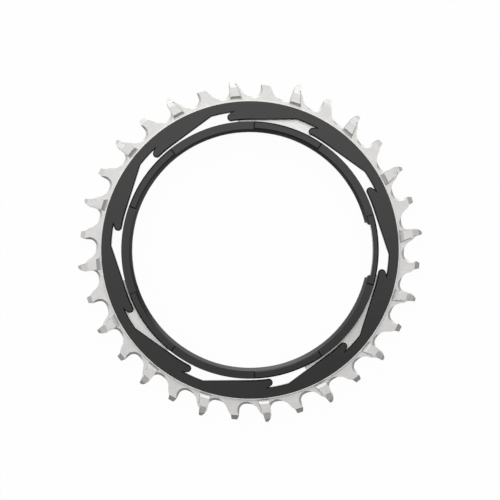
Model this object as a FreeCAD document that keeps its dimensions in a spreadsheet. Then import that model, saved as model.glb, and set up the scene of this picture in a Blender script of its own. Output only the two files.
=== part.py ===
import FreeCAD, Part
import math
import os
import Sketcher
from FreeCAD import Vector

# A narrow-wide bicycle chainring, machined in one piece, in millimetres.
# The axis of rotation is Z, the back of the collar stands on Z = 0, and the side that faces
# away from the bicycle looks along +Z. Angles run anticlockwise from +X, seen from that side.

SIZES = {
    # Chain and teeth
    "chain_pitch": (12.7, "from roller to roller"),
    "roller_dia": (7.75, "chain roller"),
    "tooth_pairs": (16, "one wide and one narrow tooth in each pair"),
    "first_tooth_turn": (5.9, "angle of the first wide tooth"),
    "tooth_plane": (3.3, "middle of the teeth above the back face"),
    "narrow_tooth_width": (2.0, "fits between the inner plates"),
    "wide_tooth_width": (3.7, "fits between the outer plates"),
    "wide_tip_rise": (3.95, "wide tip outside the pitch circle"),
    "narrow_tip_rise": (2.9, "narrow tip outside the pitch circle"),
    "tip_land": (0.6, "thickness left at a tip"),
    "narrow_bevel_run": (1.8, "radial length of the narrow tip bevel"),
    "wide_bevel_run": (1.25, "radial length of the steep wide tip bevel"),
    "wide_shoulder_run": (2.55, "radial length of the shallow bevel before it"),
    "wide_shoulder_drop": (0.9, "fall of that shallow bevel on each side"),
    # Gullets between the teeth
    "root_rise": (0.3, "gullet floor outside the nominal root circle"),
    "seat_radius": (4.37, "roller seat on the driving flank"),
    "seat_offset": (0.8, "seat centre before the middle of the gullet"),
    "relief_radius": (2.66, "corner at the foot of the back flank"),
    "relief_offset": (1.86, "corner centre before the middle of the gullet"),
    "back_flank_offset": (1.76, "back flank from the tooth's middle line"),
    "back_flank_rise": (0.5, "end of the straight back flank outside the pitch circle"),
    "back_flank_curve": (4.2, "radius of the rounded back flank"),
    "back_corner_offset": (0.24, "where the rounded back flank meets the outline"),
    "shoulder_gap": (0.2366, "shoulder of the driving flank outside the roller seat"),
    "shoulder_rise": (-0.1, "shoulder outside the pitch circle"),
    "knee_offset": (1.44, "knee above the shoulder from the middle line"),
    "knee_rise": (1.3, "knee outside the pitch circle"),
    "tip_offset": (0.8, "driving side of the tip from the middle line"),
    "crescent_radius": (3.55, "crescent bevel at the face of the plate, round the same centre"),
    "crescent_depth": (0.55, "its depth into each face"),
    "crescent_width": (1.1, "its width down to that depth"),
    "seam_gap": (0.5, "from the end of a crescent to where one pair of teeth joins the next"),
    # Raised bosses of the wide teeth
    "ramp_foot_inset": (1.6, "foot of the boss ramp at the tooth plane, inside the rim's edge"),
    "ramp_top_offset": (2.0, "top of the ramp, outside the rim's edge"),
    "boss_knee_rise": (0.8, "boss knee outside the pitch circle"),
    "boss_back_foot": (1.31, "flat of the boss behind the middle line, at the ramp"),
    "boss_back_knee": (1.2, "the same at the knee"),
    "boss_back_tip": (0.36, "the same beyond the tip"),
    "boss_drive_foot": (2.46, "flat of the boss before the middle line, at the ramp"),
    "boss_drive_knee": (1.2, "the same at the knee"),
    "boss_drive_tip": (0.9, "the same beyond the tip"),
    "boss_splay": (1.05, "widening of the driving side down to the ramp foot"),
    "boss_lean": (0.5, "sideways lean of the boss walls for each millimetre of height"),
    "trim_top_rise": (1.5, "shoulder trim of a wide tooth: top, outside the pitch circle"),
    "trim_top_offset": (1.1, "its top from the middle line"),
    "trim_foot_rise": (-0.7, "its foot outside the pitch circle"),
    "trim_foot_offset": (2.85, "its foot from the middle line"),
    "trim_lean": (0.3, "its lean for each millimetre of height"),
    # Rim that carries the teeth, and its hooks
    "rim_gap": (1.8, "from the rim's outer edge to the gullet floor"),
    "rim_front_rise": (2.3, "rim face in front of the tooth plane"),
    "rim_back_rise": (2.0, "rim back behind the tooth plane"),
    "rim_edge_break": (0.25, "small chamfer on the rim's front edge"),
    "plate_overlap": (2.0, "how far the toothed plate runs into the rim"),
    "hook_count": (10, "hooks round the inside of the rim"),
    "hook_gap": (0.6, "slot between the hooks and the collar"),
    "hook_depth": (3.41, "radial depth of the windows between the hooks"),
    "first_nose_turn": (26.15, "angle of the first hook's nose centre"),
    "nose_radius": (1.5, "rounded nose of a hook"),
    "notch_lag": (0.43, "notch behind the nose centre, along the window's outer arc"),
    "window_run": (7.75, "from the nose centre to the window's far corner"),
    "window_break": (0.4, "width of the chamfer along a window's front edge"),
    "hook_break": (0.5, "width of the chamfer along the hooks' inner front edge"),
    "break_slope": (0.5, "depth of these chamfers for each millimetre of width"),
    # Three tabs that join the rim to the collar
    "tab_thickness": (2.0, "tabs, level with the rim's back"),
    "tab_overlap": (1.0, "how far the tabs run into the rim and the collar"),
    # Threaded collar
    "bore_dia": (95.0, "thread of the bore, across the bottom of its groove"),
    "collar_wall": (3.65, "bore to the outside of the collar"),
    "collar_height": (6.5, "length of the collar"),
    "lead_chamfer": (0.55, "width of the chamfer at the front of the bore"),
    "lead_chamfer_drop": (0.32, "its depth along the axis"),
    "back_chamfer": (0.5, "chamfer at the back of the bore"),
    "pad_count": (5, "raised pads on the collar"),
    "first_pad_turn": (0.1, "angle of the first pad's middle"),
    "pad_sweep": (32.5, "angle that a pad covers"),
    "pad_rise": (0.28, "height of the pads"),
    "pad_bevel": (0.5, "width of the bevel round a pad"),
    "index_half_sweep": (13.2, "half the angle of the index notch"),
    "index_depth": (1.4, "depth of the index notch into the bore wall"),
    "index_corner": (1.2, "rounded inner corners of the index notch"),
}

# Start and end angle of each tab.
TABS = ((62.0, 95.5), (193.5, 231.0), (295.0, 349.0))

# Cutting shapes reach this far past the solid that they trim.
REACH = "2"

doc = FreeCAD.newDocument("chainring")

sheet = doc.addObject("Spreadsheet::Sheet", "Sizes")
for row, (alias, (amount, meaning)) in enumerate(SIZES.items(), start=1):
    sheet.set("A%d" % row, alias + ": " + meaning)
    sheet.set("B%d" % row, str(amount))
    sheet.setAlias("B%d" % row, alias)
for index, ends in enumerate(TABS):
    for column, word, angle in zip("DE", ("tab_start_", "tab_end_"), ends):
        sheet.set("%s%d" % (column, index + 1), str(angle))
        sheet.setAlias("%s%d" % (column, index + 1), word + "abc"[index])
doc.recompute()


def size(alias):
    return "Sizes." + alias


def turn(alias):
    """A sheet value as an angle."""
    return "(Sizes.%s * 1 deg)" % alias


def sweep(length, radius):
    """The angle that a length covers along an arc about the axis."""
    return "((%s) / (%s) * 1 rad)" % (length, radius)


PITCH_RADIUS = "(Sizes.chain_pitch / (2 * sin(90 deg / Sizes.tooth_pairs)))"
ROOT_RADIUS = "(%s - Sizes.roller_dia / 2 + Sizes.root_rise)" % PITCH_RADIUS
WIDE_TIP_RADIUS = "(%s + Sizes.wide_tip_rise)" % PITCH_RADIUS
NARROW_TIP_RADIUS = "(%s + Sizes.narrow_tip_rise)" % PITCH_RADIUS
CLEAR_RADIUS = "(%s + %s)" % (WIDE_TIP_RADIUS, REACH)
TOOTH_TURN = turn("first_tooth_turn")
TOOTH_STEP = "(180 deg / Sizes.tooth_pairs)"
PAIR_STEP = "(360 deg / Sizes.tooth_pairs)"
FIRST_GULLET = "(%s - %s / 2)" % (TOOTH_TURN, TOOTH_STEP)

BORE_RADIUS = "(Sizes.bore_dia / 2)"
COLLAR_RADIUS = "(%s + Sizes.collar_wall)" % BORE_RADIUS
HOOK_RADIUS = "(%s + Sizes.hook_gap)" % COLLAR_RADIUS
RIM_RADIUS = "(%s - Sizes.rim_gap)" % ROOT_RADIUS
WINDOW_RADIUS = "(%s + Sizes.hook_depth)" % HOOK_RADIUS

TOOTH_PLANE = size("tooth_plane")
NARROW_HALF = "(Sizes.narrow_tooth_width / 2)"
WIDE_HALF = "(Sizes.wide_tooth_width / 2)"
RIM_FRONT = "(Sizes.tooth_plane + Sizes.rim_front_rise)"
RIM_BACK = "(Sizes.tooth_plane - Sizes.rim_back_rise)"


def value(text):
    """What an expression over the sheet comes to, as a plain number."""
    result = sheet.evalExpression(text)
    return float(getattr(result, "Value", result))


def point(corner):
    return Vector(value(corner[0]), value(corner[1]), 0)


def polar(radius, angle):
    """A corner given by its distance from the axis and its angle."""
    return ("(%s) * cos(%s)" % (radius, angle), "(%s) * sin(%s)" % (radius, angle))


def beside(radius, offset, line_turn):
    """A corner at a radius, and so far to the anticlockwise side of a radial line."""
    return polar(radius, "%s + asin((%s) / (%s))" % (line_turn, offset, radius))


def arc_centre(start, end, radius, anticlockwise):
    """Centre of the short arc of that radius from one point to another."""
    chord = end - start
    rise = math.sqrt(max(radius ** 2 - chord.Length ** 2 / 4, 0))
    side = Vector(-chord.y, chord.x, 0).normalize() * (1 if anticlockwise else -1)
    return (start + end) / 2 + side * rise


def touch(outside, centre, radius, arriving):
    """Where a line between an outside point and a clockwise arc touches the arc."""
    away = outside - centre
    base = math.atan2(away.y, away.x)
    spread = math.acos(min(radius / away.Length, 1))
    best = None
    for angle in (base - spread, base + spread):
        spoke = Vector(math.cos(angle), math.sin(angle), 0)
        contact = centre + spoke * radius
        travel = contact - outside if arriving else outside - contact
        if travel.dot(Vector(spoke.y, -spoke.x, 0)) > 0:
            best = contact
    return best


class Outline:
    """A sketch whose loops have their corners held by expressions over the sheet."""

    def __init__(self, body, name, plane, height=None):
        self.sketch = body.newObject("Sketcher::SketchObject", name)
        self.sketch.AttachmentSupport = [(origin_feature(body, plane), "")]
        self.sketch.MapMode = "FlatFace"
        if height:
            self.sketch.setExpression("AttachmentOffset.Base.z", height)

    def swing(self, angle):
        """Turn an upright sketch's plane about Z."""
        self.sketch.AttachmentOffset = FreeCAD.Placement(Vector(), Vector(0, 1, 0), 1)
        self.sketch.setExpression("AttachmentOffset.Rotation.Angle", angle)

    def bind(self, kind, places, text):
        self.sketch.addConstraint(Sketcher.Constraint(kind, *places, value(text)))
        self.sketch.setExpression("Constraints[%d]" % (self.sketch.ConstraintCount - 1), text)

    def pin(self, edge, end, corner):
        """Hold one end of an edge, or an arc's centre (end 3), at a corner."""
        self.bind("DistanceX", (-1, 1, edge, end), corner[0])
        self.bind("DistanceY", (-1, 1, edge, end), corner[1])

    def loop(self, edges):
        """Close a loop of edges, each a dict with its start corner or the guess for it.

        An edge is straight unless it has a radius; turn 1 is anticlockwise and -1 clockwise.
        A start without a corner is where the edge before it runs in as a tangent.
        """
        starts = [edge["guess"] if "guess" in edge else point(edge["corner"]) for edge in edges]
        placed = []
        for index, edge in enumerate(edges):
            start = starts[index]
            end = starts[(index + 1) % len(edges)]
            placed.append(self.place(edge, start, end))
        for index, edge in enumerate(edges):
            number, first, _ = placed[index]
            before, _, last = placed[index - 1]
            if "guess" in edge:
                self.sketch.addConstraint(
                    Sketcher.Constraint("Tangent", before, last, number, first))
            else:
                self.sketch.addConstraint(
                    Sketcher.Constraint("Coincident", before, last, number, first))
                self.pin(number, first, edge["corner"])

    def place(self, edge, start, end):
        """Add one edge and return its number and which of its ends come first and last."""
        if "radius" not in edge:
            return self.sketch.addGeometry(Part.LineSegment(start, end)), 1, 2
        radius = value(edge["radius"])
        anticlockwise = edge["turn"] > 0
        if "centre" in edge:
            centre = point(edge["centre"])
        else:
            centre = arc_centre(start, end, radius, anticlockwise)
        ends = [start - centre, end - centre]
        if not anticlockwise:
            ends.reverse()
        angles = [math.atan2(spoke.y, spoke.x) for spoke in ends]
        if angles[1] < angles[0]:
            angles[1] += 2 * math.pi
        circle = Part.Circle(centre, Vector(0, 0, 1), radius)
        number = self.sketch.addGeometry(Part.ArcOfCircle(circle, *angles))
        if "centre" in edge:
            self.pin(number, 3, edge["centre"])
        if "corner" not in edge or "centre" not in edge:
            self.bind("Radius", (number,), edge["radius"])
        return (number, 1, 2) if anticlockwise else (number, 2, 1)

    def polygon(self, corners):
        self.loop([{"corner": corner} for corner in corners])

    def sector(self, inner, outer, start, end):
        """A piece of a ring about the axis."""
        self.loop([
            {"corner": polar(inner, end), "radius": inner, "turn": -1},
            {"corner": polar(inner, start)},
            {"corner": polar(outer, start), "radius": outer, "turn": 1},
            {"corner": polar(outer, end)},
        ])


def origin_feature(body, role):
    for feature in body.Origin.OriginFeatures:
        if feature.Role == role:
            return feature
    raise ValueError(role)


def finish_feature(body, feature, sizes, must_grow):
    """Bind a feature's sizes, make it the tip and make sure that it changed the solid."""
    before = 0 if body.Shape.isNull() else body.Shape.Volume
    for name, text in sizes.items():
        feature.setExpression(name, text)
    body.Tip = feature
    doc.recompute()
    change = feature.Shape.Volume - before
    if not feature.isValid() or (change <= 0 if must_grow else change >= 0):
        raise RuntimeError("%s changed the volume by %.3f mm3" % (feature.Name, change))
    return feature


def turned(body, kind, name, outline, must_grow, angle="360 deg"):
    """A ring turned about Z, or a groove cut that way."""
    feature = body.newObject("PartDesign::" + kind, name)
    feature.Profile = outline.sketch
    feature.ReferenceAxis = (outline.sketch, ["V_Axis"])
    return finish_feature(body, feature, {"Angle": angle}, must_grow)


def cut_through(body, name, outline):
    """A pocket through the whole thickness, from a sketch on the back plane."""
    pocket = body.newObject("PartDesign::Pocket", name)
    pocket.Profile = outline.sketch
    pocket.Type = "ThroughAll"
    pocket.Reversed = True
    return finish_feature(body, pocket, {}, must_grow=False)


def pad_up(body, name, outline, length):
    pad = body.newObject("PartDesign::Pad", name)
    pad.Profile = outline.sketch
    return finish_feature(body, pad, {"Length": length}, must_grow=True)


def lofted(body, name, low, high, must_grow):
    """A solid, or a cut, with straight sides between two outlines of as many corners."""
    kind = "AdditiveLoft" if must_grow else "SubtractiveLoft"
    loft = body.newObject("PartDesign::" + kind, name)
    loft.Profile = low.sketch
    loft.Sections = [high.sketch]
    loft.Ruled = True
    return finish_feature(body, loft, {}, must_grow)


def repeat(body, name, features, count, must_grow, angle="360 deg"):
    """Copies of features, or of the whole body where none is named, spread about the axis."""
    pattern = body.newObject("PartDesign::PolarPattern", name)
    if features:
        pattern.Originals = features
    else:
        pattern.TransformMode = "Whole shape"
    pattern.Axis = (origin_feature(body, "Z_Axis"), [""])
    return finish_feature(body, pattern, {"Occurrences": count, "Angle": angle}, must_grow)


def add_plate_piece(body):
    """The plate of the narrow teeth, as far round as one pair of teeth.

    It starts and ends in a gullet, where the crescent bevel has run out.
    """
    crescent_end = "(Sizes.crescent_radius - Sizes.relief_offset + Sizes.seam_gap)"
    plate_front = "%s + %s" % (TOOTH_PLANE, NARROW_HALF)
    plate_back = "%s - %s" % (TOOTH_PLANE, NARROW_HALF)
    inner_radius = "%s - Sizes.plate_overlap" % RIM_RADIUS
    bevel_radius = "%s - Sizes.narrow_bevel_run" % NARROW_TIP_RADIUS
    section = Outline(body, "PlateSection", "XZ_Plane")
    section.swing("%s + %s" % (FIRST_GULLET, sweep(crescent_end, ROOT_RADIUS)))
    section.polygon([
        (inner_radius, plate_back),
        (bevel_radius, plate_back),
        (NARROW_TIP_RADIUS, "%s - Sizes.tip_land / 2" % TOOTH_PLANE),
        (NARROW_TIP_RADIUS, "%s + Sizes.tip_land / 2" % TOOTH_PLANE),
        (bevel_radius, plate_front),
        (inner_radius, plate_front),
    ])
    turned(body, "Revolution", "Plate", section, must_grow=True, angle=PAIR_STEP)


def add_rim(body):
    """The rim, turned as one section."""
    section = Outline(body, "RimSection", "XZ_Plane")
    section.polygon([
        (HOOK_RADIUS, RIM_BACK),
        (RIM_RADIUS, RIM_BACK),
        (RIM_RADIUS, "%s - Sizes.rim_edge_break" % RIM_FRONT),
        ("%s - Sizes.rim_edge_break" % RIM_RADIUS, RIM_FRONT),
        ("%s + Sizes.hook_break" % HOOK_RADIUS, RIM_FRONT),
        (HOOK_RADIUS, "%s - Sizes.hook_break * Sizes.break_slope" % RIM_FRONT),
    ])
    turned(body, "Revolution", "Rim", section, must_grow=True)


def draw_window(body, name, height=None):
    """The outline of one window, from its notch round to the nose of the hook before it."""
    nose_turn = turn("first_nose_turn")
    nose_centre = polar("%s + Sizes.nose_radius" % HOOK_RADIUS, nose_turn)
    notch = polar(WINDOW_RADIUS, "%s - %s" % (nose_turn, sweep(size("notch_lag"), WINDOW_RADIUS)))
    apex_turn = "(%s + %s)" % (nose_turn, sweep(size("window_run"), WINDOW_RADIUS))
    foot_turn = "(%s + acos(%s / %s))" % (apex_turn, HOOK_RADIUS, WINDOW_RADIUS)
    inside = "(%s - %s)" % (HOOK_RADIUS, REACH)
    undercut = touch(point(notch), point(nose_centre), value(size("nose_radius")), arriving=False)
    outline = Outline(body, name, "XY_Plane", height)
    outline.loop([
        {"corner": notch, "radius": WINDOW_RADIUS, "turn": 1},
        {"corner": polar(WINDOW_RADIUS, apex_turn)},
        {"corner": polar(HOOK_RADIUS, foot_turn)},
        {"corner": polar(inside, foot_turn), "radius": inside, "turn": -1},
        {"corner": polar(inside, nose_turn)},
        {"corner": polar(HOOK_RADIUS, nose_turn), "centre": nose_centre,
         "radius": size("nose_radius"), "turn": -1},
        {"guess": undercut},
    ])
    return outline


def cut_windows(body):
    """Ten windows that leave a rounded hook between each two of them.

    A chamfer runs along their front edge. Its two sides meet beyond the sharp notch, as a
    short nick in the rim's face.
    """
    depth = "Sizes.window_break * Sizes.break_slope"
    window = cut_through(body, "Window", draw_window(body, "WindowOutline"))
    foot = draw_window(body, "BreakOutline", "%s - %s" % (RIM_FRONT, depth))
    pocket = body.newObject("PartDesign::Pocket", "Break")
    pocket.Profile = foot.sketch
    pocket.Reversed = True
    finish_feature(body, pocket, {"Length": depth, "TaperAngle": "atan(1 / Sizes.break_slope)"},
                   must_grow=False)
    repeat(body, "Windows", [window, pocket], size("hook_count"), must_grow=False)


def add_tabs(body):
    """Three thin tabs behind the hooks, which carry the rim on the collar."""
    inner = "(%s - Sizes.tab_overlap)" % COLLAR_RADIUS
    outer = "(%s + Sizes.tab_overlap)" % WINDOW_RADIUS
    outline = Outline(body, "TabOutline", "XY_Plane", RIM_BACK)
    for letter in "abc"[:len(TABS)]:
        outline.sector(inner, outer, turn("tab_start_" + letter), turn("tab_end_" + letter))
    pad_up(body, "Tabs", outline, size("tab_thickness"))


def add_collar(body):
    """The collar with its bore, chamfered at both ends, where a fine thread is cut from the back."""
    section = Outline(body, "CollarSection", "XZ_Plane")
    section.polygon([
        ("%s + Sizes.back_chamfer" % BORE_RADIUS, "0"),
        (COLLAR_RADIUS, "0"),
        (COLLAR_RADIUS, size("collar_height")),
        ("%s + Sizes.lead_chamfer" % BORE_RADIUS, size("collar_height")),
        (BORE_RADIUS, "Sizes.collar_height - Sizes.lead_chamfer_drop"),
        (BORE_RADIUS, size("back_chamfer")),
    ])
    turned(body, "Revolution", "Collar", section, must_grow=True)


def add_pads(body):
    """Low pads with bevelled edges on the front of the collar."""
    half = "Sizes.pad_sweep / 2 * 1 deg"
    middle = turn("first_pad_turn")
    base = size("collar_height")
    levels = []
    for level, height, inset in (("Foot", base, "0"),
                                 ("Top", "%s + Sizes.pad_rise" % base, size("pad_bevel"))):
        reach = "(%s - %s)" % (half, sweep(inset, COLLAR_RADIUS))
        outline = Outline(body, "Pad" + level, "XY_Plane", height)
        outline.sector("(%s + Sizes.lead_chamfer + %s)" % (BORE_RADIUS, inset),
                       "(%s - %s)" % (COLLAR_RADIUS, inset),
                       "%s - %s" % (middle, reach), "%s + %s" % (middle, reach))
        levels.append(outline)
    pad = lofted(body, "Pad", *levels, must_grow=True)
    repeat(body, "Pads", [pad], size("pad_count"), must_grow=True)


def cut_index_notch(body):
    """A shallow recess in the bore wall that sets the ring's turn on its mount."""
    half = turn("index_half_sweep")
    floor = "(%s + Sizes.index_depth)" % BORE_RADIUS
    corner = size("index_corner")
    wall = "(%s - %s)" % (floor, corner)
    inside = "(%s - %s)" % (BORE_RADIUS, REACH)
    inset = sweep(corner, floor)
    outline = Outline(body, "IndexOutline", "XY_Plane")
    outline.loop([
        {"corner": polar(inside, half), "radius": inside, "turn": -1},
        {"corner": polar(inside, "-%s" % half)},
        {"corner": polar(wall, "-%s" % half), "radius": corner, "turn": -1},
        {"corner": polar(floor, "-%s + %s" % (half, inset)), "radius": floor, "turn": 1},
        {"corner": polar(floor, "%s - %s" % (half, inset)), "radius": corner, "turn": -1},
        {"corner": polar(wall, half)},
    ])
    cut_through(body, "IndexNotch", outline)


def cut_crescents(body):
    """Crescent bevels at the foot of the pair's back flanks, on the front of the plate."""
    middle = "(%s + %s)" % (FIRST_GULLET, TOOTH_STEP)
    centre = beside("(%s + Sizes.relief_radius)" % ROOT_RADIUS, "-Sizes.relief_offset", middle)
    cone = body.newObject("PartDesign::SubtractiveCone", "Crescent")
    finish_feature(body, cone, {
        "Placement.Base.x": centre[0],
        "Placement.Base.y": centre[1],
        "Placement.Base.z": "%s + %s - Sizes.crescent_depth" % (TOOTH_PLANE, NARROW_HALF),
        "Placement.Rotation.Angle": "%s + 90 deg" % middle,
        "Radius1": "Sizes.crescent_radius - Sizes.crescent_width",
        "Radius2": "Sizes.crescent_radius + Sizes.crescent_width",
        "Height": "2 * Sizes.crescent_depth",
    }, must_grow=False)
    repeat(body, "Crescents", [cone], "2", must_grow=False, angle=TOOTH_STEP)


def add_bosses(body):
    """The thick middle of the wide tooth, ramped towards the axis, on both sides."""
    knee = "%s + Sizes.boss_knee_rise" % PITCH_RADIUS
    lean = "Sizes.boss_lean * %s" % WIDE_HALF
    rows = (
        ("(%s - Sizes.ramp_foot_inset)" % RIM_RADIUS, "(%s + Sizes.ramp_top_offset)" % RIM_RADIUS,
         "foot", "Sizes.boss_splay"),
        (knee, knee, "knee", "0"),
        (CLEAR_RADIUS, CLEAR_RADIUS, "tip", "0"),
    )
    back_side = []
    drive_side = []
    for low_radius, high_radius, place, splay in rows:
        back = size("boss_back_" + place)
        drive = size("boss_drive_" + place)
        back_side.append((beside(low_radius, "%s + %s" % (back, lean), TOOTH_TURN),
                          beside(high_radius, back, TOOTH_TURN)))
        drive_side.append((beside(low_radius, "-%s - %s - %s" % (drive, lean, splay), TOOTH_TURN),
                           beside(high_radius, "-%s" % drive, TOOTH_TURN)))
    corners = drive_side + back_side[::-1]
    for side, sign in (("Front", "+"), ("Back", "-")):
        low = Outline(body, side + "BossFoot", "XY_Plane", TOOTH_PLANE)
        low.polygon([pair[0] for pair in corners])
        high = Outline(body, side + "BossTop", "XY_Plane",
                       "%s %s %s" % (TOOTH_PLANE, sign, WIDE_HALF))
        high.polygon([pair[1] for pair in corners])
        lofted(body, side + "Boss", low, high, must_grow=True)


def bevel_wide_tip(body):
    """Turn the wide tip to a shallow bevel and then a steep one on each side."""
    steep_radius = "(%s - Sizes.wide_bevel_run)" % WIDE_TIP_RADIUS
    flat_radius = "(%s - Sizes.wide_shoulder_run)" % steep_radius
    land = "Sizes.tip_land / 2"
    rises = (
        (WIDE_TIP_RADIUS, land),
        (steep_radius, "%s - Sizes.wide_shoulder_drop" % WIDE_HALF),
        (flat_radius, WIDE_HALF),
        (flat_radius, "%s + %s" % (WIDE_HALF, REACH)),
        ("%s + %s" % (CLEAR_RADIUS, REACH), "%s + %s" % (WIDE_HALF, REACH)),
    )
    front = [(radius, "%s + (%s)" % (TOOTH_PLANE, rise)) for radius, rise in rises]
    back = [(radius, "%s - (%s)" % (TOOTH_PLANE, rise)) for radius, rise in rises]
    section = Outline(body, "TipSection", "XZ_Plane")
    section.polygon(front + back[::-1])
    turned(body, "Groove", "TipBevels", section, must_grow=False)


def trim_wide_shoulder(body):
    """A leaning cut across the driving shoulder of the wide tooth, on its front."""
    top = "%s + Sizes.trim_top_rise" % PITCH_RADIUS
    foot = "%s + Sizes.trim_foot_rise" % PITCH_RADIUS
    lean = "Sizes.trim_lean * %s" % WIDE_HALF
    clear = "-Sizes.trim_foot_offset - %s" % REACH
    levels = []
    for level, height, shift in (("Low", TOOTH_PLANE, "0"),
                                 ("High", "%s + %s" % (TOOTH_PLANE, WIDE_HALF), lean)):
        outline = Outline(body, "Trim" + level, "XY_Plane", height)
        outline.polygon([
            beside(top, "%s - Sizes.trim_top_offset" % shift, TOOTH_TURN),
            beside(foot, "%s - Sizes.trim_foot_offset" % shift, TOOTH_TURN),
            beside(foot, clear, TOOTH_TURN),
            beside(top, clear, TOOTH_TURN),
        ])
        levels.append(outline)
    lofted(body, "Trim", *levels, must_grow=False)


def beyond_seat(radius, gap):
    """A corner at a radius, on the driving side of the first roller seat and that far outside it."""
    centre = "(%s + Sizes.seat_radius)" % ROOT_RADIUS
    away = "(Sizes.seat_radius + %s)" % gap
    opening = "acos((%s^2 + %s^2 - %s^2) / (2 * %s * %s))" % (centre, radius, away, centre, radius)
    return polar(radius, "%s - asin(Sizes.seat_offset / %s) + %s" % (FIRST_GULLET, centre, opening))


def cut_gullets(body):
    """The space before, between and after the pair of teeth, from back flank to driving flank."""
    last_tooth = "(%s - %s)" % (TOOTH_TURN, TOOTH_STEP)
    seat = beside("(%s + Sizes.seat_radius)" % ROOT_RADIUS, "-Sizes.seat_offset", FIRST_GULLET)
    relief = beside("(%s + Sizes.relief_radius)" % ROOT_RADIUS, "-Sizes.relief_offset",
                    FIRST_GULLET)
    flank = beside("(%s + Sizes.back_flank_rise)" % PITCH_RADIUS, size("back_flank_offset"),
                   last_tooth)
    shoulder = beyond_seat("(%s + Sizes.shoulder_rise)" % PITCH_RADIUS, size("shoulder_gap"))
    knee = beside("(%s + Sizes.knee_rise)" % PITCH_RADIUS, "-Sizes.knee_offset", TOOTH_TURN)
    tip = beside(WIDE_TIP_RADIUS, "-Sizes.tip_offset", TOOTH_TURN)
    far = beside(CLEAR_RADIUS, "-Sizes.tip_offset", TOOTH_TURN)
    near = beside(CLEAR_RADIUS, size("back_corner_offset"), last_tooth)
    corner = beside(WIDE_TIP_RADIUS, size("back_corner_offset"), last_tooth)

    seat_radius = value(size("seat_radius"))
    relief_radius = value(size("relief_radius"))
    seat_floor = point(seat) - point(seat).normalize() * seat_radius
    relief_floor = point(relief) - point(relief).normalize() * relief_radius
    outline = Outline(body, "GulletOutline", "XY_Plane")
    outline.loop([
        {"corner": flank},
        {"guess": touch(point(flank), point(relief), relief_radius, arriving=True),
         "centre": relief, "radius": size("relief_radius"), "turn": -1},
        {"guess": relief_floor},
        {"guess": seat_floor, "centre": seat, "radius": size("seat_radius"), "turn": -1},
        {"guess": touch(point(shoulder), point(seat), seat_radius, arriving=False)},
        {"corner": shoulder},
        {"corner": knee},
        {"corner": tip},
        {"corner": far, "radius": CLEAR_RADIUS, "turn": -1},
        {"corner": near},
        {"corner": corner, "radius": size("back_flank_curve"), "turn": 1},
    ])
    gullet = cut_through(body, "Gullet", outline)
    repeat(body, "Gullets", [gullet], "3", must_grow=False, angle=PAIR_STEP)


def make_toothed_plate():
    """One wide and one narrow tooth, repeated round the axis."""
    body = doc.addObject("PartDesign::Body", "ToothedPlate")
    body.Label = "toothed_plate"
    add_plate_piece(body)
    cut_crescents(body)
    add_bosses(body)
    bevel_wide_tip(body)
    trim_wide_shoulder(body)
    cut_gullets(body)
    repeat(body, "ToothPairs", [], size("tooth_pairs"), must_grow=True)
    return body


def make_chainring():
    toothed_plate = make_toothed_plate()
    body = doc.addObject("PartDesign::Body", "Chainring")
    body.Label = "chainring"
    add_rim(body)
    cut_windows(body)
    add_tabs(body)
    add_collar(body)
    add_pads(body)
    cut_index_notch(body)
    teeth = body.newObject("PartDesign::Boolean", "Teeth")
    teeth.setObjects([toothed_plate])
    teeth.Type = "Fuse"
    finish_feature(body, teeth, {}, must_grow=True)
    return body


parts = [make_chainring()]
doc.recompute()

for item in doc.Objects:
    if "Invalid" in item.State or "Error" in item.State:
        raise RuntimeError("%s failed" % item.Name)

os.makedirs("parts", exist_ok=True)
for part in parts:
    shape = part.Shape
    if shape.isNull() or not shape.isValid() or len(shape.Solids) != 1:
        raise RuntimeError("%s has no valid solid" % part.Label)
    shape.exportStep("parts/%s.step" % part.Label)
    box = shape.BoundBox
    print("%s: %.1f mm3, %.2f x %.2f x %.2f mm" % (
        part.Label, shape.Volume, box.XLength, box.YLength, box.ZLength))
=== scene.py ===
import math

import bpy
from bpy.props import FloatProperty, FloatVectorProperty, IntProperty, PointerProperty
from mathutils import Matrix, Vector


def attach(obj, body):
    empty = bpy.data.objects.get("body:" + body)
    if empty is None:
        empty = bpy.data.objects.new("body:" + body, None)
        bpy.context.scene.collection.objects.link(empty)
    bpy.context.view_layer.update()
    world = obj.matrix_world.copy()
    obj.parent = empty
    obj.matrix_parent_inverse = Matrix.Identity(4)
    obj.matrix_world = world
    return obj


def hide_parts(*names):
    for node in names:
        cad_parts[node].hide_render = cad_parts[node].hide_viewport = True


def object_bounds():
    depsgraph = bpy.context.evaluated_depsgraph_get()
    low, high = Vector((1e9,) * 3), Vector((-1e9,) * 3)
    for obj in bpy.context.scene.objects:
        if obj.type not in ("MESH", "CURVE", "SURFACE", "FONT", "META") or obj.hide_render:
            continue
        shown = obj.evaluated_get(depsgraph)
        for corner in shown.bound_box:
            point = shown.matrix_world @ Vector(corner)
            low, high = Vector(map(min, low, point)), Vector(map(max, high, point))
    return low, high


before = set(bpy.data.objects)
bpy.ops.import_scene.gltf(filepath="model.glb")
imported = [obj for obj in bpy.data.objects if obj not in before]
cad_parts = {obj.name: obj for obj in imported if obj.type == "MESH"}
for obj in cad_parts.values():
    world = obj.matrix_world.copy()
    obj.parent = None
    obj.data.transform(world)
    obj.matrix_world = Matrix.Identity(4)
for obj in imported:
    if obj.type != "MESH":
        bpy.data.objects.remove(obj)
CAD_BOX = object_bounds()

bl_info = {
    "name": "Bicycle Chainring Finish",
    "version": (1, 0, 0),
    "blender": (4, 5, 0),
    "location": "View3D > Sidebar > Chainring",
    "description": "Finishes, bore thread and studio of a one-piece narrow-wide chainring",
    "category": "Object",
}

MM = 0.001
RING_NODE = "chainring"

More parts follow.
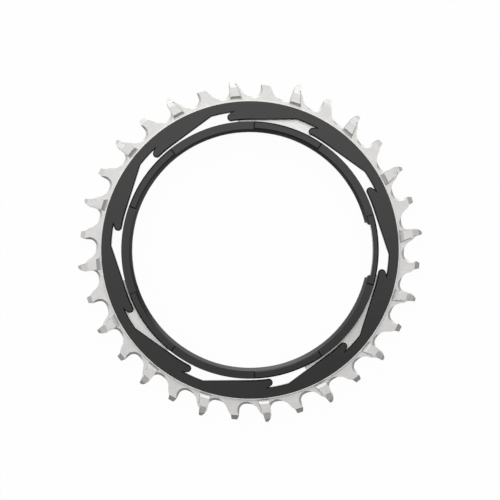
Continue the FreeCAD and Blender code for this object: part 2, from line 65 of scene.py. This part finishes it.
# Places on the ring, in millimetres from its axis and above its back.
RIM_BACK_LEVEL = 1.3
TAB_FLOOR_LEVEL = 3.3
COLLAR_LEVEL = 6.5
RIM_FACE_RADIUS = 59.16
RIM_RADIUS = 59.41
WINDOW_RADIUS = 55.16
TAB_REACH = WINDOW_RADIUS + 1
BORE_RADIUS = 47.5
BORE_START = 0.5
BORE_END = 6.18
LEAD_CHAMFER_WIDTH = 0.55
LEAD_CHAMFER_HEIGHT = 0.32
LEAD_RADIUS = BORE_RADIUS + LEAD_CHAMFER_WIDTH
# Room for rounding where the place of a face is compared, in millimetres.
SLACK = 0.02
# Half of the index notch as seen from the axis, in degrees.
NOTCH_HALF_ANGLE = 13.25
# How far the chamfers at the bore's two ends run outwards for each millimetre along the axis.
BACK_CHAMFER_SLOPE = 1.0
LEAD_CHAMFER_SLOPE = LEAD_CHAMFER_WIDTH / LEAD_CHAMFER_HEIGHT

# A bare face is blasted if its normal rises more than this: the flats, and the wide teeth's
# shallow bevels. A black face is a bevel if its normal rises less, and a wall if less than WALL.
FLAT = 0.938
WALL = 0.3

# The camera looks straight down on the ring, and its frame is square.
PHOTO_WIDTH_PX = 500
PHOTO_PX_PER_MM = 2.52

# The noise texture's values lie between these, but for a few.
NOISE_LOW = 0.3
NOISE_HIGH = 0.7
# Faces of the thread that meet at more than this many degrees have a sharp edge between them.
SHARP_ANGLE = 25
SOFTBOX_DISTANCE = 1.3
COVE_SIDES = 96
COVE_STEPS = 12


def srgb_to_linear(hex_colour):
    """A colour written as #rrggbb, as the linear values that Blender works with."""
    channels = [int(hex_colour[start:start + 2], 16) / 255 for start in (1, 3, 5)]
    return tuple(c / 12.92 if c <= 0.04045 else ((c + 0.055) / 1.055) ** 2.4 for c in channels)


def add_node(tree, kind, links=None, **settings):
    """A node with its settings, and with its inputs linked or set to plain values."""
    node = tree.nodes.new(kind)
    for name, amount in settings.items():
        setattr(node, name, amount)
    for socket, source in (links or {}).items():
        if isinstance(source, bpy.types.NodeSocket):
            tree.links.new(source, node.inputs[socket])
        else:
            node.inputs[socket].default_value = source
    return node


def new_material(name):
    """An empty node material, with its tree and its output's surface socket."""
    material = bpy.data.materials.new(name)
    material.use_nodes = True
    tree = material.node_tree
    tree.nodes.clear()
    output = add_node(tree, "ShaderNodeOutputMaterial")
    return material, tree, output.inputs["Surface"]


def with_alpha(colour):
    """A linear colour with full cover, as colour sockets need it."""
    return (*colour, 1.0)


def round_the_axis(tree, across, along):
    """Coordinates for a grain that runs round the axis.

    One unit is `across` millimetres from ring to ring, and about `along` millimetres on the way
    round at the rim. They have no seam.
    """
    place = add_node(tree, "ShaderNodeTexCoord").outputs["Object"]
    split = add_node(tree, "ShaderNodeSeparateXYZ", {0: place})
    flat = add_node(tree, "ShaderNodeCombineXYZ", {0: split.outputs["X"], 1: split.outputs["Y"]})
    radius = add_node(tree, "ShaderNodeVectorMath", {0: flat.outputs[0]}, operation="LENGTH")
    spoke = add_node(tree, "ShaderNodeVectorMath", {0: flat.outputs[0]}, operation="NORMALIZE")
    spoke_scaled = add_node(tree, "ShaderNodeVectorMath",
                            {0: spoke.outputs[0], "Scale": WINDOW_RADIUS / along}, operation="SCALE")
    turned = add_node(tree, "ShaderNodeSeparateXYZ", {0: spoke_scaled.outputs[0]})
    level = add_node(tree, "ShaderNodeMath", {0: split.outputs["Z"], 1: 1 / (across * MM)},
                     operation="MULTIPLY")
    ring = add_node(tree, "ShaderNodeMath", {0: radius.outputs["Value"], 1: 1 / (across * MM)},
                    operation="MULTIPLY")
    both = add_node(tree, "ShaderNodeMath", {0: ring.outputs[0], 1: level.outputs[0]}, operation="ADD")
    return add_node(tree, "ShaderNodeCombineXYZ", {
        0: both.outputs[0], 1: turned.outputs["X"], 2: turned.outputs["Y"]}).outputs[0]


def grain(tree, coordinates, per_unit, detail=2.0):
    """Noise from 0 to 1 with so many cells in each unit of the coordinates."""
    noise = add_node(tree, "ShaderNodeTexNoise",
                     {"Vector": coordinates, "Scale": per_unit, "Detail": detail})
    return noise.outputs["Fac"]


def spread(tree, source, low, high):
    """Noise stretched from its usual range to the range from low to high."""
    ramp = add_node(tree, "ShaderNodeMapRange", {
        "Value": source, "From Min": NOISE_LOW, "From Max": NOISE_HIGH, "To Min": low, "To Max": high})
    return ramp.outputs["Result"]


def bump(tree, height, depth_mm, strength):
    """Normals that follow a height from 0 to 1, which stands for `depth_mm` millimetres."""
    node = add_node(tree, "ShaderNodeBump",
                    {"Height": height, "Distance": depth_mm * MM, "Strength": strength})
    return node.outputs["Normal"]


def black_anodised_aluminium(name, dye_and_shade_tones, ior):
    """Aluminium with a dyed oxide skin: an even satin black that greys under a lamp. Its two tones are
    the dye's own, and on the bevels a darker pair that is painted shade.

    `ior` sets how much of the gloss the surface keeps.
    """
    material, tree, surface = new_material(name)
    place = add_node(tree, "ShaderNodeTexCoord").outputs["Object"]
    # The blasted pits are about 0.1 mm across and are drawn 0.4 mm wide, to show at all.
    pits = grain(tree, place, 1 / (0.4 * MM), detail=3.0)
    # The two tones lie in patches of about 6 mm: the dye taking a little unevenly, and on the bevels the
    # painted shade.
    patches = grain(tree, place, 1 / (6 * MM))
    dye = add_node(tree, "ShaderNodeMix", {
        "Factor": spread(tree, patches, low=0.0, high=1.0),
        "A": with_alpha(dye_and_shade_tones[0]),
        "B": with_alpha(dye_and_shade_tones[1])}, data_type="RGBA")
    skin = add_node(tree, "ShaderNodeBsdfPrincipled", {
        "Base Color": dye.outputs["Result"],
        "Metallic": 0.0,
        "IOR": ior,
        "Roughness": spread(tree, pits, low=0.2, high=0.26),
        "Normal": bump(tree, pits, depth_mm=0.002, strength=0.5)})
    tree.links.new(skin.outputs[0], surface)
    return material


def blasted_black_aluminium(colours):
    """Blasted before it was anodised: the pits take away some of the oxide's gloss."""
    dye_and_shade_tones = (colours.anodised_dark, colours.anodised_light)
    return black_anodised_aluminium("blasted_black_anodised_aluminium", dye_and_shade_tones, ior=1.5)


def turned_black_aluminium(colours):
    """Turned after blasting and then anodised: the smooth oxide gives back all of its gloss."""
    dye_and_shade_tones = (colours.anodised_dark, colours.anodised_light)
    return black_anodised_aluminium("turned_black_anodised_aluminium", dye_and_shade_tones, ior=1.8)


def black_bevels_painted_shade(colours):
    """Small bevels, milled and then anodised: the cutter's ridges swallow nearly all of the gloss, and
    their darker black is painted shade, for the dark lines along the edges.
    """
    dye_and_shade_tones = (colours.bevel_painted_shade_dark, colours.bevel_painted_shade_light)
    return black_anodised_aluminium("black_anodised_bevels_painted_shade", dye_and_shade_tones, ior=1.22)


def bare_aluminium(name, tones, smoothest, roughest):
    """Bare 7075 between two tones and two roughnesses, with the cutter's faint lines round the axis."""
    material, tree, surface = new_material(name)
    # The cutter's lines are about 0.05 mm apart and are drawn 0.3 mm apart, to show at all.
    lines = grain(tree, round_the_axis(tree, across=0.3, along=12), 1.0)
    place = add_node(tree, "ShaderNodeTexCoord").outputs["Object"]
    patches = grain(tree, place, 1 / (3 * MM))
    tone = add_node(tree, "ShaderNodeMix", {
        "Factor": spread(tree, patches, low=0.0, high=1.0),
        "A": with_alpha(tones[0]),
        "B": with_alpha(tones[1])}, data_type="RGBA")
    metal = add_node(tree, "ShaderNodeBsdfPrincipled", {
        "Base Color": tone.outputs["Result"],
        "Metallic": 1.0,
        "Roughness": spread(tree, lines, smoothest, roughest),
        "Normal": bump(tree, lines, depth_mm=0.003, strength=0.4)})
    tree.links.new(metal.outputs[0], surface)
    return material


def blasted_aluminium(colours):
    """The flat faces, blasted before the teeth were cut: they take the light evenly."""
    tones = (colours.blasted_dark, colours.blasted_light)
    return bare_aluminium("blasted_bare_aluminium", tones, smoothest=0.57, roughest=0.63)


def milled_aluminium(colours):
    """The bevels and flanks, as the cutters left them: smoother, so each catches its own light."""
    tones = (colours.milled_dark, colours.milled_light)
    return bare_aluminium("milled_bare_aluminium", tones, smoothest=0.41, roughest=0.47)


def bright_aluminium(colours):
    """The rim's edge, cut last with a sharp tool: so smooth that it mirrors the pale room all round."""
    tones = (colours.blasted_dark, colours.blasted_light)
    return bare_aluminium("bright_cut_bare_aluminium", tones, smoothest=0.14, roughest=0.2)


def turned_aluminium(colours):
    """Bare aluminium turned on a lathe: its fine rings spread a lamp's light into radial rays."""
    material, tree, surface = new_material("turned_bare_aluminium")
    # The turning tool's feed is about 0.05 mm and is drawn 0.25 mm wide, to show at all.
    lines = grain(tree, round_the_axis(tree, across=0.25, along=4), 1.0)
    metal = add_node(tree, "ShaderNodeBsdfPrincipled", {
        "Base Color": with_alpha(colours.turned),
        "Metallic": 1.0,
        "Roughness": spread(tree, lines, low=0.25, high=0.33),
        "Anisotropic": 0.8,
        "Anisotropic Rotation": 0.25,
        "Tangent": add_node(tree, "ShaderNodeTangent", direction_type="RADIAL", axis="Z").outputs[0],
        "Normal": bump(tree, lines, depth_mm=0.002, strength=0.4)})
    tree.links.new(metal.outputs[0], surface)
    return material


FINISHES = (blasted_black_aluminium, turned_black_aluminium, black_bevels_painted_shade, blasted_aluminium,
            milled_aluminium, bright_aluminium, turned_aluminium)


def on_pad_inside(face, level):
    """Whether a face is the bevel of a raised pad that looks towards the bore."""
    outward = Vector((face.center.x, face.center.y, 0)).normalized()
    return level > COLLAR_LEVEL + SLACK and face.normal.dot(outward) < -WALL


def face_finish(mesh, face):
    """The finish of one of the ring's faces, as its place in the list of finishes."""
    corners = [mesh.vertices[index].co / MM for index in face.vertices]
    levels = [corner.z for corner in corners]
    reach = max(math.hypot(corner.x, corner.y) for corner in corners)
    on_back = max(levels) < RIM_BACK_LEVEL + SLACK
    if RIM_FACE_RADIUS + SLACK < reach < RIM_RADIUS + SLACK and not on_back:
        return FINISHES.index(bright_aluminium)
    if reach > RIM_FACE_RADIUS + SLACK and not on_back:
        return FINISHES.index(blasted_aluminium if abs(face.normal.z) > FLAT else milled_aluminium)
    on_floor = max(abs(level - TAB_FLOOR_LEVEL) for level in levels) < SLACK
    if on_floor and reach < TAB_REACH:
        return FINISHES.index(turned_aluminium)
    if reach < LEAD_RADIUS + SLACK and min(levels) > BORE_END - SLACK:
        return FINISHES.index(turned_black_aluminium)
    # Black bevels get the darker painted shade, but not a raised pad's bevels towards the bore.
    if WALL < abs(face.normal.z) < FLAT and not on_pad_inside(face, max(levels)):
        return FINISHES.index(black_bevels_painted_shade)
    return FINISHES.index(blasted_black_aluminium)


def finish_ring(colours):
    """The ring with its black skin cut away at the teeth, the rim's edge and the tab floors."""
    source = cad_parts[RING_NODE]
    mesh = source.data.copy()
    mesh.name = "machined_ring"
    mesh.materials.clear()
    for make in FINISHES:
        mesh.materials.append(make(colours))
    for face in mesh.polygons:
        face.material_index = face_finish(mesh, face)
    used = {face.material_index for face in mesh.polygons}
    if len(used) != len(FINISHES):
        raise RuntimeError("the ring has faces for only %d of its finishes" % len(used))
    ring = bpy.data.objects.new("machined_ring", mesh)
    bpy.context.scene.collection.objects.link(ring)
    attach(ring, "root")
    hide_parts(RING_NODE)


def thread_depth(turns, sizes):
    """How far the thread stands in from its groove's bottom after so many turns, in millimetres."""
    # Half of the groove's flat bottom, and the width of a flank, as shares of the pitch.
    groove_half = 1 / 16
    flank = 5 / 16
    from_groove = abs((turns + 0.5) % 1 - 0.5)
    share = min(max((from_groove - groove_half) / flank, 0), 1)
    return share * sizes.depth


def bore_wall(angle, level, sizes):
    """Radius of the threaded bore, where the chamfers at its two ends have cut the turns."""
    turns = level / sizes.pitch - angle / (2 * math.pi)
    radius = BORE_RADIUS - thread_depth(turns, sizes)
    back_chamfer = BORE_RADIUS - (level - BORE_START) * BACK_CHAMFER_SLOPE
    lead_chamfer = BORE_RADIUS - (BORE_END - level) * LEAD_CHAMFER_SLOPE
    return max(radius, back_chamfer, lead_chamfer)


def thread_ring(sizes):
    """The thread's turns as one ring, open at the index notch and let into the collar.

    Each section goes up the turns and back down behind them, and the sections follow one another
    round the axis from one side of the notch to the other.
    """
    rows = round((BORE_END - BORE_START) / sizes.pitch * sizes.rows_per_turn)
    notch = math.radians(NOTCH_HALF_ANGLE)
    points = []
    for column in range(sizes.columns + 1):
        angle = notch + (2 * math.pi - 2 * notch) * column / sizes.columns
        section = []
        for row in range(rows + 1):
            level = BORE_START + (BORE_END - BORE_START) * row / rows
            section.append((bore_wall(angle, level, sizes), level))
        section.append((BORE_RADIUS + sizes.root, BORE_END))
        section.append((BORE_RADIUS + sizes.root, BORE_START))
        points += [Vector((radius * math.cos(angle), radius * math.sin(angle), level)) * MM
                   for radius, level in section]
    around = rows + 3
    faces = [tuple(range(around))[::-1]]
    faces.append(tuple(sizes.columns * around + index for index in range(around)))
    for column in range(sizes.columns):
        here = column * around
        there = here + around
        for index in range(around):
            after = (index + 1) % around
            faces.append((here + index, here + after, there + after, there + index))
    mesh = bpy.data.meshes.new("bore_thread")
    mesh.from_pydata(points, [], faces)
    mesh.shade_smooth()
    mesh.set_sharp_from_angle(angle=math.radians(SHARP_ANGLE))
    if mesh.validate():
        raise RuntimeError("the thread has faces that can't be used")
    return mesh


def add_softbox(name, azimuth, elevation, width, height, radiance):
    """An oval softbox aimed at the ring, as bright to look at as `radiance`."""
    lamp = bpy.data.lights.new(name, "AREA")
    lamp.shape = "ELLIPSE"
    lamp.size = width
    lamp.size_y = height
    # The power of an even lamp is its radiance times its area, times pi.
    area = math.pi * width * height / 4
    lamp.energy = radiance * area * math.pi
    holder = bpy.data.objects.new(name, lamp)
    turn, rise = math.radians(azimuth), math.radians(elevation)
    away = Vector((math.cos(turn) * math.cos(rise), math.sin(turn) * math.cos(rise), math.sin(rise)))
    holder.location = away * SOFTBOX_DISTANCE
    holder.rotation_mode = "QUATERNION"
    holder.rotation_quaternion = away.to_track_quat("Z", "Y")
    holder.visible_camera = False
    bpy.context.scene.collection.objects.link(holder)


def shown_white(tree, shade, share):
    """Mixes white into what is seen, directly or in metal, and leaves the rest to light and shadow."""
    path = add_node(tree, "ShaderNodeLightPath")
    seen = add_node(tree, "ShaderNodeMath", {
        0: path.outputs["Is Camera Ray"], 1: path.outputs["Is Glossy Ray"]}, operation="MAXIMUM")
    seen = add_node(tree, "ShaderNodeMath", {
        0: seen.outputs[0], 1: path.outputs["Is Transmission Ray"]}, operation="MAXIMUM")
    part = add_node(tree, "ShaderNodeMath", {0: seen.outputs[0], 1: share}, operation="MULTIPLY")
    white = add_node(tree, "ShaderNodeEmission", {"Color": (1, 1, 1, 1), "Strength": 1.0})
    mix = add_node(tree, "ShaderNodeMixShader", {
        0: part.outputs[0], 1: shade.outputs[0], 2: white.outputs[0]})
    return mix.outputs[0]


def add_cove(studio):
    """A white floor that curves up into a low wall all round."""
    corner = studio.cove_wall
    floor = -studio.floor_gap
    profile = [(0.0, floor), (studio.cove_radius - corner, floor)]
    for step in range(1, COVE_STEPS + 1):
        angle = math.pi / 2 * step / COVE_STEPS
        profile.append((studio.cove_radius - corner + corner * math.sin(angle),
                        floor + corner - corner * math.cos(angle)))
    sides = range(COVE_SIDES)
    points = [Vector((0, 0, floor))]
    for radius, level in profile[1:]:
        points += [Vector((radius * math.cos(2 * math.pi * side / COVE_SIDES),
                           radius * math.sin(2 * math.pi * side / COVE_SIDES), level))
                   for side in sides]
    faces = [(0, 1 + side, 1 + (side + 1) % COVE_SIDES) for side in sides]
    for ring in range(len(profile) - 2):
        low = 1 + ring * COVE_SIDES
        high = low + COVE_SIDES
        faces += [(low + side, high + side, high + (side + 1) % COVE_SIDES, low + (side + 1) % COVE_SIDES)
                  for side in sides]
    mesh = bpy.data.meshes.new("studio_cove")
    mesh.from_pydata(points, [], faces)
    mesh.shade_smooth()
    material, tree, surface = new_material("matt_white_paper")
    paper = add_node(tree, "ShaderNodeBsdfDiffuse", {"Color": with_alpha(studio.paper)})
    tree.links.new(shown_white(tree, paper, studio.white_share), surface)
    mesh.materials.append(material)
    cove = bpy.data.objects.new("studio_cove", mesh)
    bpy.context.scene.collection.objects.link(cove)


def add_camera(studio):
    """Straight above the ring, with +Y up and the photograph's width in the frame."""
    lens = bpy.data.cameras.new("camera")
    frame_width = PHOTO_WIDTH_PX / PHOTO_PX_PER_MM * MM
    face_level = CAD_BOX[1].z
    lens.lens = lens.sensor_width * studio.camera_distance / frame_width
    camera = bpy.data.objects.new("camera", lens)
    camera.location = (0, 0, face_level + studio.camera_distance)
    bpy.context.scene.collection.objects.link(camera)
    bpy.context.scene.camera = camera


def set_world(studio):
    """A plain grey room behind the lamps."""
    world = bpy.data.worlds.new("studio_room")
    world.use_nodes = True
    tree = world.node_tree
    tree.nodes.clear()
    room = add_node(tree, "ShaderNodeBackground", {"Color": with_alpha(studio.room), "Strength": 1.0})
    add_node(tree, "ShaderNodeOutputWorld", {"Surface": room.outputs[0]})
    bpy.context.scene.world = world


def colour_property(name, description, hex_colour):
    return FloatVectorProperty(name=name, description=description, subtype="COLOR", min=0, max=1,
                               default=srgb_to_linear(hex_colour))


class ChainringColours(bpy.types.PropertyGroup):
    """Colours of the ring's finishes."""

    anodised_dark: colour_property("Anodised dark", "Black skin where it took more dye", "#171716")
    anodised_light: colour_property("Anodised light", "Black skin where it took less dye", "#1c1c1b")
    # The bevels' two blacks are darker than the skin as painted shade, for the dark lines along the
    # edges.
    bevel_painted_shade_dark: colour_property("Bevel dark", "Black bevels where they took more dye", "#10100f")
    bevel_painted_shade_light: colour_property("Bevel light", "Black bevels where they took less dye", "#141413")
    blasted_dark: colour_property("Blasted dark", "Bare flat faces, duller patches", "#e8e7e5")
    blasted_light: colour_property("Blasted light", "Bare flat faces, brighter patches", "#efeeec")
    milled_dark: colour_property("Milled dark", "Bare bevels and flanks, duller patches", "#d8d7d5")
    milled_light: colour_property("Milled light", "Bare bevels and flanks, brighter patches", "#dedddb")
    turned: colour_property("Turned", "Bare floors of the tabs", "#d3d2d0")


class ThreadSizes(bpy.types.PropertyGroup):
    """Sizes of the bore's thread, in millimetres."""

    pitch: FloatProperty(name="Pitch", description="From turn to turn, mm", default=1.0, min=0.2)
    depth: FloatProperty(name="Depth", description="Height of the turns, mm", default=0.54, min=0.05)
    root: FloatProperty(name="Root", description="How far the turns are let into the collar, mm",
                        default=0.1, min=0.01)
    rows_per_turn: IntProperty(name="Rows", description="Rows of faces in each turn", default=12, min=4)
    columns: IntProperty(name="Columns", description="Faces round the bore", default=480, min=60)


class StudioSettings(bpy.types.PropertyGroup):
    """The plain studio round the ring."""

    camera_distance: FloatProperty(name="Camera distance", description="From the ring's face",
                                   default=1.0, min=0.3, unit="LENGTH")
    cove_radius: FloatProperty(name="Floor radius", description="Of the white floor", default=3.2,
                               min=1, unit="LENGTH")
    cove_wall: FloatProperty(name="Wall height", description="Of the wall round the floor",
                             default=0.55, min=0.1, unit="LENGTH")
    floor_gap: FloatProperty(name="Floor gap", description="How far the floor lies under the ring's back",
                             default=0.00002, min=0, unit="LENGTH", precision=5)
    paper: colour_property("Paper", "Floor and backdrop", "#f4f4f3")
    white_share: FloatProperty(name="White share", description="How much of the floor is plain white",
                               default=0.965, min=0, max=1, subtype="FACTOR")
    room: colour_property("Room", "Light that comes from all round", "#7a7a7a")
    key_level: FloatProperty(name="Key light", description="Brightness of the softbox behind",
                             default=1.02, min=0)
    side_level: FloatProperty(name="Side light", description="Brightness of the softbox on the left",
                              default=0.63, min=0)
    fill_level: FloatProperty(name="Fill light", description="Brightness of the low strip on the right",
                              default=0.68, min=0)


class CHAINRING_OT_finish_ring(bpy.types.Operator):
    """Give the ring its black and bare finishes"""

    bl_idname = "chainring.finish_ring"
    bl_label = "Finish Ring"

    def execute(self, context):
        finish_ring(context.scene.chainring_colours)
        return {"FINISHED"}


class CHAINRING_OT_cut_thread(bpy.types.Operator):
    """Cut the fine thread in the ring's bore"""

    bl_idname = "chainring.cut_thread"
    bl_label = "Cut Bore Thread"

    def execute(self, context):
        mesh = thread_ring(context.scene.chainring_thread)
        skin = bpy.data.materials.get("turned_black_anodised_aluminium")
        if skin is None:
            raise RuntimeError("the ring gets its finish before its thread")
        mesh.materials.append(skin)
        thread = bpy.data.objects.new("bore_thread", mesh)
        context.scene.collection.objects.link(thread)
        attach(thread, "root")
        return {"FINISHED"}


class CHAINRING_OT_set_stage(bpy.types.Operator):
    """Set the floor, the lamps and the camera"""

    bl_idname = "chainring.set_stage"
    bl_label = "Set Stage"

    def execute(self, context):
        studio = context.scene.chainring_studio
        add_cove(studio)
        set_world(studio)
        add_softbox("key_softbox", azimuth=80, elevation=48, width=1.86, height=2.42,
                    radiance=studio.key_level)
        add_softbox("side_softbox", azimuth=137, elevation=51, width=2.64, height=2.57,
                    radiance=studio.side_level)
        add_softbox("fill_softbox", azimuth=-23, elevation=30, width=1.8, height=0.18,
                    radiance=studio.fill_level)
        add_camera(studio)
        context.scene.view_settings.view_transform = "Standard"
        return {"FINISHED"}


class CHAINRING_PT_sidebar(bpy.types.Panel):
    """Lists the ring's pieces and its stage"""

    bl_label = "Chainring"
    bl_idname = "CHAINRING_PT_sidebar"
    bl_space_type = "VIEW_3D"
    bl_region_type = "UI"
    bl_category = "Chainring"

    def draw(self, context):
        for group in ("chainring_colours", "chainring_thread", "chainring_studio"):
            settings = getattr(context.scene, group)
            box = self.layout.box()
            for name in settings.__annotations__:
                box.prop(settings, name)
        for operator in STEPS:
            self.layout.operator(operator.bl_idname)


STEPS = (CHAINRING_OT_finish_ring, CHAINRING_OT_cut_thread, CHAINRING_OT_set_stage)
SETTINGS = {
    "chainring_colours": ChainringColours,
    "chainring_thread": ThreadSizes,
    "chainring_studio": StudioSettings,
}


def register():
    for kind in (*SETTINGS.values(), *STEPS, CHAINRING_PT_sidebar):
        bpy.utils.register_class(kind)
    for name, kind in SETTINGS.items():
        setattr(bpy.types.Scene, name, PointerProperty(type=kind))


def unregister():
    for name in SETTINGS:
        delattr(bpy.types.Scene, name)
    for kind in (CHAINRING_PT_sidebar, *STEPS[::-1], *SETTINGS.values()):
        bpy.utils.unregister_class(kind)


def main():
    register()
    for step in STEPS:
        group, name = step.bl_idname.split(".")
        getattr(getattr(bpy.ops, group), name)()


if __name__ == "__main__":
    main()
